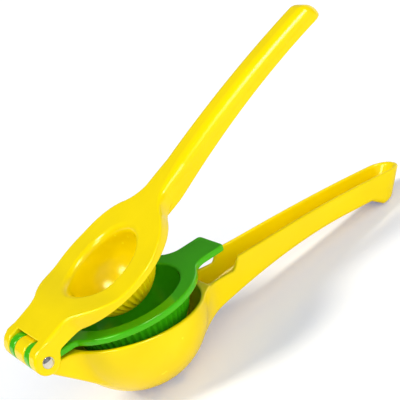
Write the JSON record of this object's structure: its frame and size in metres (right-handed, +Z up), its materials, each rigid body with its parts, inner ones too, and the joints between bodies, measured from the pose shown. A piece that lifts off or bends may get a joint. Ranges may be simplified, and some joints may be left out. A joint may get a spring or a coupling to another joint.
{
  "type": "hinged lemon squeezer",
  "caption": "Hand squeezer: a pressing dome closes into a cup nested in a bowl. Three castings swing on one hinge pin, with an arched upper and a channelled lower handle.",
  "frame": {"origin": "the small flat foot of the bowl, right under the bowl's middle", "axes": "+Z up, +X from the hinge towards the handles, +Y along the hinge pin; the squeezer stands on the bowl's foot and on the tail of its lower handle"},
  "size_m": [0.2267, 0.076, 0.1182],
  "materials": {
    "yellow_enamel": "gloss",
    "green_enamel": "gloss",
    "pin_steel": "polished"
  },
  "bodies": {
    "lower": {"lower_handle": "yellow_enamel"},
    "insert": {"lime_insert": "green_enamel"},
    "press": {"press_handle": "yellow_enamel", "hinge_pin": "pin_steel"}
  },
  "joints": [
    {"name": "insert_hinge", "type": "hinge", "parent": "lower", "child": "insert", "pos_m": [-0.05023, 0, 0.05217], "axis": [0, -1, 0], "range_deg": [-6.2, 83.8]},
    {"name": "press_hinge", "type": "hinge", "parent": "insert", "child": "press", "pos_m": [-0.05023, 0, 0.05217], "axis": [0, -1, 0], "range_deg": [-17.7, 80.5]}
  ]
}
